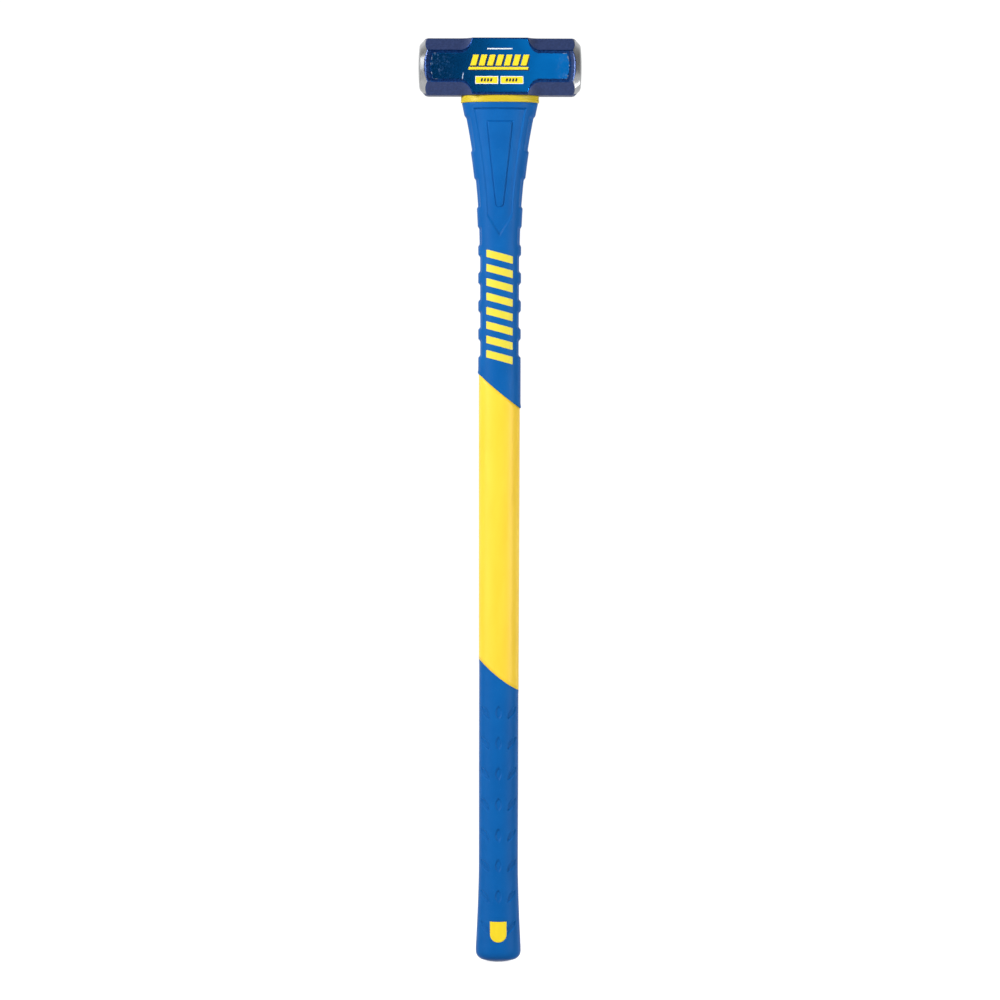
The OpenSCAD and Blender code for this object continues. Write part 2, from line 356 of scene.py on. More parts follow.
def soft_blue(name, specular, sheen):
    """Matte thermoplastic rubber with a fine moulded grain, faint scuffs and dust."""
    s = Shader(name, Specular_IOR_Level=specular, Sheen_Weight=sheen,
               Sheen_Roughness=0.25)
    cloudy = s.noise(45, 3)
    colour = s.blend(s.range(cloudy, 0.3, 0.7), (0.001, 0.102, 0.365), (0.002, 0.114, 0.395))
    dust = s.range(s.noise(1400, 1), 0.70, 0.78)
    s.set("Base Color", s.blend(s.times(dust, 0.10), colour, (0.25, 0.42, 0.70)))
    scuff = s.noise(1.0, 3, 0.6, s.stretched((700, 700, 60)))
    s.set("Roughness", s.range(scuff, 0.35, 0.75, 0.44, 0.55))
    grain = s.noise(2600, 2, 0.6)
    s.set("Normal", s.bump(grain, 0.00006, 0.5, s.bump(s.noise(260, 2), 0.00008, 0.4)))
    return s.material


def satin_yellow(name, deep=(0.95, 0.628, 0.034), bright=(0.98, 0.672, 0.046)):
    """Moulded polypropylene: satin, with slow flow marks and a fine grain."""
    s = Shader(name, Specular_IOR_Level=0.28)
    flow = s.noise(1.0, 3, 0.5, s.stretched((60, 60, 14)))
    s.set("Base Color", s.blend(s.range(flow, 0.3, 0.7), deep, bright))
    s.set("Roughness", s.range(s.noise(500, 3), 0.3, 0.7, 0.36, 0.48))
    s.set("Normal", s.bump(s.noise(1800, 2), 0.00004, 0.4))
    return s.material


# The painted glint's middle, in metres, and how far it leans for its height
GLINT_X, GLINT_Z, GLINT_LEAN = -0.0368, 0.8769, 0.16


def head_finish(name):
    """The head's three finishes: blue lacquer over ground cheeks, navy lacquer over
    forging scale, and bare steel on the bevels and faces. The mesh keeps, in millimetres,
    how far a point is inside the ground zone (ground) and the bare zone (bare)."""
    s = Shader(name, Coat_Roughness=0.22, Specular_IOR_Level=0.25)
    x, y, z = s.split()
    height = s.maths("SUBTRACT", z, HEAD_MID * M)
    ragged = s.maths("SUBTRACT", s.noise(260, 3), 0.5)
    fine = s.noise(900, 3, 0.6)

    # Where each finish is
    ground_in = s.maths("ADD", s.field("ground"), s.times(ragged, 1.2))
    ground = s.range(ground_in, -0.12, 0.22)
    bare_in = s.maths("ADD", s.field("bare"), s.times(ragged, 0.4))
    bare = s.range(bare_in, -0.06, 0.10)
    off_middle = s.maths("ABSOLUTE", height)
    rolled = s.times(s.range(s.field("bare"), -3.4, -2.2),
                     s.range(off_middle, 0.0162, 0.0154))

    # Lacquer over the ground steel: faint grinding, and scuffs near the ends
    grinding = s.noise(1.0, 3, 0.6, s.stretched((160, 1800, 1800)))
    cloudy = s.noise(70, 3)
    near_end = s.maths("ADD", s.range(x, -0.040, -0.056), s.range(x, 0.050, 0.066, 0, 0.5))
    patch = s.range(s.noise(160, 4, 0.65), 0.50, 0.62)
    scratches = s.range(s.noise(1.0, 2, 0.6, s.stretched((900, 3000, 500))), 0.50, 0.62)
    haze = s.times(near_end, s.range(s.noise(330, 5, 0.7), 0.50, 0.76))
    scuffed = s.times(s.times(near_end, patch), scratches)
    scuffed = s.maths("ADD", s.times(scuffed, 0.7), s.times(haze, 0.55))
    blue = s.blend(s.range(cloudy, 0.3, 0.7), (0.0006, 0.150, 0.50), (0.0010, 0.168, 0.55))
    blue = s.blend(s.times(scuffed, 0.45), blue, (0.34, 0.44, 0.60))
    chipped = s.range(s.maths("ABSOLUTE", ground_in), 0.42, 0.10)
    chipped = s.times(chipped, s.range(s.noise(330, 2), 0.50, 0.60))
    chipped = s.times(chipped, s.range(s.maths("ABSOLUTE", x), 0.060, 0.064))
    # A slanted painted highlight on the front cheek: a light streak standing for a glint off a
    # dent
    above = s.maths("SUBTRACT", z, GLINT_Z)
    across = s.maths("SUBTRACT", s.maths("SUBTRACT", x, GLINT_X), s.times(above, GLINT_LEAN))
    painted_glint = s.range(s.maths("ABSOLUTE", across), 0.0007, 0.0001)
    painted_glint = s.times(painted_glint, s.range(s.maths("ABSOLUTE", above), 0.0042, 0.0018))
    painted_glint = s.times(painted_glint, s.range(y, 0.0, -0.01))

    # Lacquer over the forging scale, glossier on what is left of the cheeks' flats
    pitted = s.noise(420, 4, 0.6)
    rim = s.range(s.maths("ABSOLUTE", y), (HEAD_W / 2 - 0.6) * M, (HEAD_W / 2 - 0.25) * M)
    rim = s.maths("MAXIMUM", rim, rolled)
    navy = s.blend(s.range(pitted, 0.35, 0.7), (0.021, 0.039, 0.124), (0.031, 0.055, 0.165))
    deep = s.blend(s.range(pitted, 0.35, 0.7), (0.001, 0.022, 0.125), (0.004, 0.050, 0.200))
    navy = s.blend(rim, navy, deep)
    paint = s.blend(ground, navy, blue)
    paint = s.blend(s.times(chipped, 0.8), paint, (0.42, 0.50, 0.62))
    # Painted highlight: the glint streak lightens the lacquer's colour
    paint = s.blend(s.times(painted_glint, 0.8), paint, (0.66, 0.70, 0.76))

    # Bare steel, turned round the head's axis
    radius = s.maths("SQRT", s.maths("ADD", s.maths("POWER", y, 2.0),
                                     s.maths("POWER", height, 2.0)))
    angle = s.maths("ARCTAN2", y, height)
    turning = s.noise(1.0, 2, 0.6, s.join(s.times(x, 2200.0), s.times(radius, 2200.0),
                                          s.times(angle, 1.2)))
    steel = s.blend(s.range(turning, 0.3, 0.7), (0.42, 0.43, 0.44), (0.50, 0.51, 0.52))
    stained = s.range(s.noise(90, 4), 0.55, 0.75)
    steel = s.blend(s.times(stained, 0.30), steel, (0.22, 0.20, 0.18))

    s.set("Base Color", s.blend(bare, paint, steel))
    # The painted glint streak and the scuffs also take the metal out of the lacquer
    lacquer_metal = s.maths("SUBTRACT", 1.0,
                            s.maths("MAXIMUM", painted_glint, s.times(scuffed, 0.4)))
    paint_metal = s.mixed(ground, s.mixed(rim, 0.10, 0.8), lacquer_metal)
    s.set("Metallic", s.mixed(bare, paint_metal, 1.0))
    scaly = s.mixed(rim, s.range(pitted, 0.3, 0.7, 0.42, 0.56),
                    s.range(pitted, 0.3, 0.7, 0.24, 0.36))
    paint_rough = s.mixed(ground, scaly, s.range(grinding, 0.3, 0.7, 0.16, 0.18))
    s.set("Roughness", s.mixed(bare, paint_rough, s.range(turning, 0.3, 0.7, 0.20, 0.27)))
    paint_coat = s.mixed(ground, s.mixed(rolled, 0.10, 1.0), 0.05)
    s.set("Coat Weight", s.mixed(bare, paint_coat, 0.0))
    scale_relief = s.times(pitted, s.maths("SUBTRACT", 1.0, ground))
    scale_relief = s.times(scale_relief, s.maths("SUBTRACT", 1.0, bare))
    relief = s.bump(s.times(scale_relief, s.mixed(rim, 1.0, 0.35)), 0.00035, 0.8)
    turned = s.times(turning, bare)
    relief = s.bump(turned, 0.00003, 0.10, relief)
    s.set("Normal", s.bump(fine, 0.00002, s.mixed(bare, 0.4, 0.1), relief))
    return s.material


def printed(name, colour):
    """Screen ink: even colour with a slightly uneven gloss."""
    s = Shader(name)
    worn = s.noise(700, 3)
    darker = tuple(c * 0.9 for c in colour)
    s.set("Base Color", s.blend(s.range(worn, 0.3, 0.8), colour, darker))
    s.set("Roughness", s.range(worn, 0.3, 0.7, 0.30, 0.42))
    return s.material


def resin(name):
    """Cured epoxy: amber and glossy, with small bubbles."""
    s = Shader(name, Coat_Weight=0.4, Coat_Roughness=0.1)
    cloudy = s.noise(220, 4)
    s.set("Base Color", s.blend(s.range(cloudy, 0.35, 0.7), (0.42, 0.27, 0.07),
                                (0.60, 0.43, 0.15)))
    s.set("Roughness", s.range(cloudy, 0.3, 0.7, 0.18, 0.32))
    s.set("Normal", s.bump(s.range(s.noise(1300, 1), 0.62, 0.72), 0.0001, 0.6))
    return s.material


def fibreglass(name):
    """A cut fibreglass rod: fine lengthwise strands, seen end on as dots."""
    s = Shader(name)
    strands = s.noise(1.0, 2, 0.6, s.stretched((2400, 2400, 40)))
    s.set("Base Color", s.blend(s.range(strands, 0.35, 0.7), (0.36, 0.30, 0.15),
                                (0.62, 0.56, 0.36)))
    s.set("Roughness", s.range(strands, 0.3, 0.7, 0.45, 0.65))
    s.set("Normal", s.bump(strands, 0.00006, 0.6))
    return s.material


def black_rubber(name):
    """Moulded rubber with a dull, slightly dusty skin."""
    s = Shader(name)
    dusty = s.noise(600, 3)
    s.set("Base Color", s.blend(s.range(dusty, 0.4, 0.8), (0.012, 0.012, 0.013),
                                (0.035, 0.034, 0.033)))
    s.set("Roughness", s.range(dusty, 0.3, 0.7, 0.6, 0.8))
    s.set("Normal", s.bump(dusty, 0.0001, 0.5))
    return s.material


# ---- Head ---------------------------------------------------------------------------

# Distance from the head's axis to its chamfers, how far a crowned face falls back to its
# rim, and where the cone of the end bevel comes to a point
FLAT = (HEAD_W / 2 + HEAD_H / 2 - CHAMFER) / math.sqrt(2)
CROWN_DROP = CROWN_R - math.sqrt(CROWN_R ** 2 - FACE_R ** 2)
CONE = HEAD_L / 2 - CROWN_DROP + BEVEL_SLOPE * FACE_R
CONE_SIZE = math.hypot(1, BEVEL_SLOPE)
# Where the cheeks begin to roll off towards the ends, and how fast
CHEEK_ROLL, CHEEK_FALL = 70.8, 0.11
# How much deeper the end bevel is cut at the cheeks
CHEEK_CUT = 2.5
# The ground zone's half length, and the bare margin round each striking face
GROUND_X, FACE_MARGIN = 68.5, 4


def runout(ax):
    """Rise of the chamfer's surface towards the square block, and its slope."""
    into = np.clip(RUNOUT_X - ax, 0, 0.985 * RUNOUT_R)
    level = np.sqrt(RUNOUT_R ** 2 - into ** 2)
    return RUNOUT_R - level, into / level


def bare_distance(x, r):
    """How far a point is past the end bevel's cone, along the bevel's normal."""
    return (np.abs(x) + BEVEL_SLOPE * r - CONE) / CONE_SIZE


def end_cut(x, y, z):
    """How far a point is past the end bevel, which is cut deeper towards the cheeks."""
    r = np.maximum(np.hypot(y, z), 1)
    return bare_distance(x, r) + CHEEK_CUT * np.clip(1 - (z / r) ** 2 / 0.6, 0, 1) ** 1.4


def cheek(x, y):
    """How far a point is outside the cheeks, which roll off towards the ends."""
    past = np.clip(np.abs(x) - CHEEK_ROLL, 0, 5)
    return np.abs(y) - HEAD_W / 2 + 0.5 * CHEEK_FALL * past ** 2


def paint_edge(x, y, z):
    """How far a point is past the edge of the paint, which stops just over the rounded edge
    of the bevel and runs further over it at the top and the underside."""
    ay, az = np.abs(y), np.abs(z)
    r = np.maximum(np.hypot(y, z), 1)
    wall = np.maximum.reduce([cheek(x, y), az - HEAD_H / 2, (ay + az) / math.sqrt(2) - FLAT])
    return end_cut(x, y, z) - wall - 0.3 - np.clip(5 * (z / r) ** 2 - 2.97, 0, None)


def head_field(x, y, z):
    """Distance outside the forging, about, with every edge rounded. z is from its middle."""
    ax, ay, az = np.abs(x), np.abs(y), np.abs(z)
    r = np.hypot(y, z)
    rise, slope = runout(ax)
    edge = ((ay + az) / math.sqrt(2) - FLAT - rise) / np.hypot(1, slope)
    crown = np.hypot(ax - (HEAD_L / 2 - CROWN_R), r) - CROWN_R
    out = smooth_max(cheek(x, y), az - HEAD_H / 2, 1.2)
    out = smooth_max(out, edge, 0.8)
    out = smooth_max(out, end_cut(x, y, z), 0.7)
    return smooth_max(out, crown, 1.3)


def ground_distance(x, y, z):
    """How far a point is inside the ground part of either cheek. z is from the middle."""
    ax, ay, az = np.abs(x), np.abs(y), np.abs(z)
    rise, _ = runout(ax)
    edge = math.sqrt(2) * (FLAT + rise) - HEAD_W / 2 - az
    end = GROUND_X - ax - 0.014 * z ** 2
    flat = ay - HEAD_W / 2 + 0.35
    top = HEAD_H / 2 - 0.7 - az
    foot = z + HEAD_H / 2 - 2.6
    return np.minimum.reduce([edge - 3.0, end, 3 * flat, top, foot])


def eye_radius(angle, r):
    """Distance from the eye's axis to its round-ended wall, in the direction of angle."""
    c, s = np.abs(np.cos(angle)), np.abs(np.sin(angle))
    straight = r / np.maximum(s, 1e-6)
    ends = EYE_OFF * c + np.sqrt(np.maximum(r ** 2 - (EYE_OFF * s) ** 2, 0))
    return np.where(straight * c <= EYE_OFF, straight, ends)


def quarter_turns(count):
    """Angles from 0 to 90 degrees, closer together near the head's long edges."""
    corners = (30.9, 47.7, 66.0)
    fine = np.linspace(0, 90, 2000)
    weight = 1 + sum(3.0 * np.exp(-(((fine - c) / 3.0) ** 2)) for c in corners)
    total = np.concatenate([[0], np.cumsum((weight[1:] + weight[:-1]) / 2)])
    return np.radians(np.interp(np.linspace(0, total[-1], count + 1), total, fine))


def build_head():
    quarter = quarter_turns(98)
    half = np.concatenate([quarter, math.pi - quarter[-2::-1]])
    angles = np.concatenate([half, 2 * math.pi - half[-2:0:-1]])
    sides = len(angles)

    # Stations along X out to the bevel, then rings inward over the face, each a share of
    # the last station's radius. The flat round the eye ends at eye_x and, in Y, at eye_y
    eye_x, eye_y = 24.0, 19.5
    station = np.concatenate([np.linspace(0, eye_x, 10)[1:], [26.0], np.linspace(27, 31, 15),
                              np.linspace(31.6, 40, 14), np.linspace(42, 68, 12),
                              np.linspace(68.8, 78.5, 26)])
    face_share = np.array([0.978, 0.964, 0.950, 0.936, 0.922, 0.907, 0.89, 0.865, 0.77, 0.64,
                           0.51, 0.385, 0.26, 0.13, 0.045])
    stations = np.concatenate([-station[::-1], [0], station])
    X = np.repeat(stations[:, None], sides, axis=1)
    C, S = np.cos(angles)[None, :], np.sin(angles)[None, :]
    R = solve(lambda r: head_field(X, r * C, r * S), np.full_like(X, 5), np.full_like(X, 45))
    walls = np.stack([X, R * C, R * S], axis=-1)
    FR = R[-1] * face_share[:, None]
    FX = solve(lambda x: head_field(x, FR * C, FR * S), np.full_like(FR, 60),
               np.full_like(FR, 85))
    right = np.stack([FX, FR * C, FR * S], axis=-1)
    left = right[::-1] * (-1, 1, 1)
    rows = np.concatenate([left, walls, right])
    count = len(rows)
    verts = rows.reshape(-1, 3)
    tips = len(verts)
    verts = np.concatenate([verts, [[-HEAD_L / 2, 0, 0], [HEAD_L / 2, 0, 0]]])

    # Leave out a rectangle on top and underneath, for the eye
    first = len(left)
    low_row = first + int(np.argmin(np.abs(stations + eye_x)))
    high_row = first + int(np.argmin(np.abs(stations - eye_x)))
    flat_y = HEAD_H / 2 / np.tan(np.maximum(quarter, 1e-6))
    corner = int(np.argmin(np.abs(flat_y - eye_y)))
    upper = (corner, 2 * (len(quarter) - 1) - corner)
    lower = (sides - upper[1], sides - upper[0])
    faces = []
    for r in range(count - 1):
        for s in range(sides):
            if low_row <= r < high_row and (
                    upper[0] <= s < upper[1] or lower[0] <= s < lower[1]):
                continue
            t = (s + 1) % sides
            faces.append((r * sides + s, r * sides + t, (r + 1) * sides + t,
                          (r + 1) * sides + s))
    faces += fan(0, sides, tips)
    faces += fan((count - 1) * sides, sides, tips + 1)

    # The flats round the eye, its rounded rims, and its wall from mouth to mouth
    def rim_loop(columns):
        loop = [(low_row, c) for c in range(columns[0], columns[1])]
        loop += [(r, columns[1]) for r in range(low_row, high_row)]
        loop += [(high_row, c) for c in range(columns[1], columns[0], -1)]
        loop += [(r, columns[0]) for r in range(high_row, low_row, -1)]
        return [r * sides + c for r, c in loop]

    top_loop = rim_loop(upper)
    foot_loop = [r * sides + (sides - c) for r, c in
                 ((i // sides, i % sides) for i in top_loop)]
    outer = verts[top_loop]
    angle = np.arctan2(outer[:, 1], outer[:, 0])
    rim = 0.9
    mouth = eye_radius(angle, EYE_MOUTH_R)
    away = np.hypot(outer[:, 0], outer[:, 1])
    half_h = HEAD_H / 2
    profile = [(away + (mouth + rim - away) * f, half_h) for f in (0.3, 0.6, 0.85, 1.0)]
    profile += [(mouth + rim * (1 - math.sin(q)), half_h - rim * (1 - math.cos(q)))
                for q in np.radians([22, 45, 68, 90])]
    steps = np.linspace(half_h - rim, 0, 8)[1:]
    profile += [(eye_radius(angle, EYE_WAIST_R + (EYE_MOUTH_R - EYE_WAIST_R) * h / half_h), h)
                for h in steps]
    rings = [np.stack([d * np.cos(angle), d * np.sin(angle), 0 * d + h], axis=-1)
             for d, h in profile]
    rings += [ring * (1, 1, -1) for ring in rings[-2::-1]]
    loop_size = len(top_loop)
    start = len(verts)
    verts = np.concatenate([verts] + rings)
    inner = len(rings)
    faces += strip((inner, loop_size), first=start)
    last = start + (inner - 1) * loop_size
    for s in range(loop_size):
        t = (s + 1) % loop_size
        faces.append((top_loop[s], top_loop[t], start + t, start + s))
        faces.append((last + s, last + t, foot_loop[t], foot_loop[s]))

    x, y, z = verts[:, 0], verts[:, 1], verts[:, 2]
    in_eye = np.arange(len(verts)) >= start
    bare = np.maximum(paint_edge(x, y, z), np.abs(x) - HEAD_L / 2 + FACE_MARGIN)
    fields = {"ground": ground_distance(x, y, z), "bare": np.where(in_eye, -5.0, bare)}
    return make_piece("forged_head", verts + (0, 0, HEAD_MID), faces, "head",
                      [head_finish("head_finish")], fields=fields)


# ---- Sleeve -------------------------------------------------------------------------

# Side notches: top and bottom heights
FLARE_NOTCHES = [(839.0, 802.2), (777.6, 746.4), (729.5, 708.9)]
EVEN_NOTCHES = [(701.4 - 27.8 * i, 701.4 - 27.8 * i - 19.2) for i in range(4)]
FLANK = 2.8
# Below FLAT_FOOT the sleeve's rings begin to slope towards the colour break
FLAT_FOOT = 596.0
# The keystone panel: half widths at its waist and top, and heights of point, waist and top
PANEL_A, PANEL_TOP_A = 12.4, 25.8
PANEL_TIP, PANEL_WAIST, PANEL_TOP = 719.8, 740.0, 845.6
# The narrow panel: half widths at its foot and top, and heights of its foot and top
STRIPE_A, STRIPE_TOP_A = 3.2, 12.1
STRIPE_FOOT, STRIPE_TOP = 751.2, 831.9


def notch_depth(z):
    depth = 0 * z
    for notches, deep in ((FLARE_NOTCHES, 1.4), (EVEN_NOTCHES, 2.0)):
        for top, low in notches:
            depth = depth + deep * smooth(np.minimum(top - z, z - low) / FLANK)
    return depth


def outer_panel(x, z):
    """How far inside the keystone panel on the flare, which ends in a point."""
    up = np.clip(z - PANEL_WAIST, 0, None) / (PANEL_TOP - PANEL_WAIST)
    half = PANEL_A + (PANEL_TOP_A - PANEL_A) * up ** 1.5
    point = (z - PANEL_TIP) * PANEL_A / (PANEL_WAIST - PANEL_TIP)
    return np.minimum(np.minimum(half, point) - np.abs(x), PANEL_TOP - z) * 0.9


def inner_panel(x, z):
    """How far inside the narrow panel within it, which ends in a round foot."""
    up = np.clip(z - STRIPE_FOOT, 0, None) / (STRIPE_TOP - STRIPE_FOOT)
    half = STRIPE_A + (STRIPE_TOP_A - STRIPE_A) * up ** 0.9
    sides = np.minimum(half - np.abs(x), STRIPE_TOP - z)
    foot = STRIPE_A - np.hypot(x, np.clip(STRIPE_FOOT - z, 0, None))
    return np.where(z < STRIPE_FOOT, foot, sides)


def sleeve_lift(x, a, z, cut):
    """The sleeve's relief: notches, the sunken keystone panel with a groove along its top,
    the raised narrow panel with a groove round it, and the lip above the slanted edge."""
    at_side = smooth((np.abs(x / a) - 0.80) / 0.13)
    lift = -notch_depth(z) * at_side
    outer, inner = outer_panel(x, z), inner_panel(x, z)
    lift = lift - 1.15 * smooth(outer / 0.8 + 0.5)
    groove = np.exp(-(((PANEL_TOP - 0.7 - z) / 0.6) ** 2))
    lift = lift - groove * smooth(outer / 0.8 + 1)
    lift = lift + 0.7 * smooth(inner / 0.8 + 0.5)
    lift = lift - 0.8 * np.exp(-(((inner + 0.65) / 0.55) ** 2))
    above = z - cut
    lip = np.exp(-((above - 1.6) / 1.5) ** 2) * 0.45 * smooth((np.abs(x / a) - 0.80) / 0.18)
    rounding = 0.45 * (1 - np.sqrt(np.clip(1 - (1 - np.clip(above / 0.9, 0, 1)) ** 2, 0, 1)))
    return lift + lip - rounding


def build_sleeve():
    # Columns closer together over the panels, and rows where the panels begin
    t = turns(320)[None, :]
    t = t + 0.18 * np.sin(2 * t)
    fine = [(COLLAR_Z, 847.0, 1.0), (847.0, 843.6, 0.25), (843.6, 833.6, 1.1),
            (833.6, 830.6, 0.25), (830.6, 755.0, 1.0), (755.0, 745.0, 0.5),
            (745.0, FLAT_FOOT, 1.3)]
    levels = np.concatenate([np.arange(high, low, -step) for high, low, step in fine])
    top_soft = 0.5 * (1 - smooth((COLLAR_Z - levels) / 0.8))[:, None]
    z = levels[:, None]
    a, b = sleeve_half(z)
    x = a * bend(np.cos(t))
    cut = break_z(x, UPPER_BREAK, UPPER_FALL, UPPER_SAG)
    straight = oval(a, b, t, z, sleeve_lift(x, a, z, cut) - top_soft)
    # Rows that slope more and more until they follow the colour break
    share = np.concatenate([np.linspace(0, 0.94, 24), np.linspace(0.95, 1.0, 9)])[:, None]
    a, _ = sleeve_half(FLAT_FOOT - 30)
    x = a * bend(np.cos(t))
    cut = break_z(x, UPPER_BREAK, UPPER_FALL, UPPER_SAG)
    z = FLAT_FOOT + (cut - FLAT_FOOT) * share
    a, b = sleeve_half(z)
    slanted = oval(a, b, t, z, sleeve_lift(x, a, z, cut))
    outside = np.concatenate([straight, slanted])
    # The bore hugs the jacket's stem
    inner_z = np.linspace(COLLAR_Z, FLAT_FOOT, 12)[:, None]
    grow = flare(inner_z)
    bore = oval(STEM_A + STEM_FLARE_A * grow, STEM_B + STEM_FLARE_B * grow, t, inner_z)
    last = oval(STEM_A, STEM_B, t, 0.0)
    last[..., 2] = break_z(last[..., 0], UPPER_BREAK, UPPER_FALL, UPPER_SAG)
    return shaped_tube("flared_sleeve", outside, np.concatenate([bore, last]),
                       "overstrike_sleeve", SLEEVE_BLUE)


# ---- Jacket and collar --------------------------------------------------------------


def build_jacket():
    t = turns(200)[None, :]
    share = np.linspace(0, 1, 60)[:, None]
    x = BREAK_A * bend(np.cos(t))
    high = break_z(x, UPPER_BREAK, UPPER_FALL, UPPER_SAG) + 0.6
    low = break_z(x, LOWER_BREAK, LOWER_FALL, LOWER_SAG) - 0.6
    z = high + (low - high) * share
    a, b = jacket_half(z)
    shown = oval(a, b, t, z)
    # Under the sleeves the jacket is thinner
    stem_z = np.linspace(COLLAR_Z, 600, 10)[:, None]
    grow = flare(stem_z)
    stem = oval(STEM_A - GAP + STEM_FLARE_A * grow, STEM_B - GAP + STEM_FLARE_B * grow, t,
                stem_z)
    neck = oval(STEM_A - GAP, STEM_B - GAP, t, 0.0)
    neck[..., 2] = high
    tail = oval(TAIL_A - GAP, TAIL_B - GAP, t, 0.0)
    foot = tail.copy()
    tail[..., 2] = low
    foot[..., 2] = jacket_low[2]
    outside = np.concatenate([stem, neck, shown, tail, foot])
    bore = oval(BORE_A, BORE_B, t, np.array([[COLLAR_Z], [jacket_low[2]]]))
    return shaped_tube("yellow_jacket", outside, bore, "handle_jacket",
                       YELLOW)


def build_collar():
    """The ring under the head: a soft lower rim, a fine parting line and a rounded top."""
    t = turns(240)[None, :]
    height = collar_high[2] - collar_low[2]
    up = [0.0, 0.04, 0.10, 0.20, 0.32, 0.38, 0.44, 0.60, 0.80, 0.92, 0.97, 1.0]
    inset = [0.8, 0.35, 0.08, 0.0, 0.05, 0.22, 0.34, 0.32, 0.34, 0.42, 0.62, 1.0]
    z = collar_low[2] + height * np.array(up[::-1])[:, None]
    back = np.array(inset[::-1])[:, None]
    outside = oval(collar_high[0] - back, collar_high[1] - back, t, z)
    bore_z = np.array([[collar_high[2]], [collar_low[2]]])
    bore = oval(BORE_A + 0.2, BORE_B + 0.15, t, bore_z)
    # Its darker yellow is painted shade from the head above
    return shaped_tube("yellow_collar", outside, bore, "shoulder_collar",
                       SHADED_COLLAR_YELLOW)


# ---- Grip ---------------------------------------------------------------------------

LEAF_TOP, LEAF_PITCH, LEAF_ROWS, LEAF_DEPTH = 247.4, 30.3, 8, 1.15
# Half length and half width of the leaves, and how the side ones are placed and tilted
SIDE_LEAF, MIDDLE_LEAF = (7.4, 2.4), (6.4, 2.95)
SIDE_LEAF_X, SIDE_LEAF_TILT = 13.1, math.radians(33)
WINDOW_DIP = 0.7
# How far the window's top edge sags in the middle
WINDOW_SAG = 0.35
CORNER_R, DOME_R = 9.0, 52.0
GRIP_FLAT = 262.0


def leaf(x, z, cx, cz, tilt, long, wide):
    """How far inside a pointed ellipse, drawn flat in X and Z."""
    c, s = math.cos(tilt), math.sin(tilt)
    along = (z - cz) * c + (x - cx) * s
    across = (x - cx) * c - (z - cz) * s
    return wide * (1 - (along / long) ** 2) - np.abs(across)


def window_top(x):
    return WINDOW_TOP - WINDOW_SAG * (1 - (x / WINDOW_X) ** 2)


def window_distance(x, z):
    """How far inside the butt window, with its round foot and slightly hollow top."""
    centre = WINDOW_FOOT + WINDOW_X
    return np.where(z > centre, np.minimum(WINDOW_X - np.abs(x), window_top(x) - z),
                    WINDOW_X - np.hypot(x, z - centre))


def grip_lift(x, z):
    """The grip's relief: rows of leaf-shaped dimples and the dip round the window."""
    lift = 0 * x
    for row in range(LEAF_ROWS):
        cz = LEAF_TOP - LEAF_PITCH * row
        leaves = [leaf(x, z, side * SIDE_LEAF_X, cz, side * SIDE_LEAF_TILT, *SIDE_LEAF)
                  for side in (-1, 1)]
        if row < LEAF_ROWS - 1:
            leaves.append(leaf(x, z, 0.0, cz, 0.0, *MIDDLE_LEAF))
        for inside in leaves:
            lift = lift - LEAF_DEPTH * smooth(inside / 0.75 + 0.35)
    return lift - WINDOW_DIP * smooth(window_distance(x, z) / 0.5 + 0.8)


def grip_rows():
    """Heights of the grip's rings: close together where there are dimples or the window."""
    z, rows = GRIP_FLAT - 0.8, []
    while z > 15:
        rows.append(z)
        from_leaf = abs((LEAF_TOP - z + LEAF_PITCH / 2) % LEAF_PITCH - LEAF_PITCH / 2)
        z -= 0.5 if from_leaf < 7.9 or z < WINDOW_TOP + 3 else 1.7
    return np.array(rows)


def build_grip():
    t = turns(240)[None, :]
    x = GRIP_A * bend(np.cos(t))
    cut = break_z(x, LOWER_BREAK, LOWER_FALL, LOWER_SAG)
    share = np.concatenate([np.linspace(0, 0.06, 7), np.linspace(0.1, 1, 20)])[:, None]
    z = cut + (GRIP_FLAT - cut) * share
    a, b = grip_half(z)
    below = cut - z
    rounding = 0.3 * (1 - np.sqrt(np.clip(1 - (1 - np.clip(below / 0.8, 0, 1)) ** 2, 0, 1)))
    slanted = oval(a, b, t, z, 0.25 * (1 - smooth(below / 6)) - rounding)
    z = grip_rows()[:, None]
    a, b = grip_half(z)
    straight = oval(a, b, t, z, grip_lift(a * bend(np.cos(t)), z))
    # The rounded corner and the shallow dome under the butt
    hub = BUTT_A - CORNER_R
    corner_z = DOME_R - math.sqrt((DOME_R - CORNER_R) ** 2 - hub ** 2)
    dome_turn = math.atan2(hub, DOME_R - corner_z)
    ratio = (BUTT_A - FLATTEN) / BUTT_A
    q = np.linspace(0, math.pi / 2 - dome_turn, 14)
    corner = [(hub + CORNER_R * math.cos(v), corner_z - CORNER_R * math.sin(v)) for v in q]
    q = dome_turn * (1 - np.linspace(0, 1, 9)[1:-1])
    dome = [(DOME_R * math.sin(v), DOME_R * (1 - math.cos(v))) for v in q]
    turned = np.concatenate([oval(r, r * ratio, t, h)
                             for r, h in [(BUTT_A, 13.0)] + corner + dome])
    outside = np.concatenate([slanted, straight, turned])
    bore = oval(TAIL_A, TAIL_B, t, 0.0)
    low = bore.copy()
    bore[..., 2] = break_z(bore[..., 0], LOWER_BREAK, LOWER_FALL, LOWER_SAG)
    low[..., 2] = TAIL_FOOT
    rows = np.concatenate([low, bore, outside])
    count, sides = rows.shape[:2]
    verts = np.concatenate([rows.reshape(-1, 3), [[0, 0, TAIL_FOOT], [0, 0, 0]]])
    faces = strip((count, sides))
    faces += fan(0, sides, count * sides)
    faces += fan((count - 1) * sides, sides, count * sides + 1)
    return make_piece("soft_grip", verts, faces, "grip_sleeve", [GRIP_BLUE])


# ---- Pads let into the surface ------------------------------------------------------


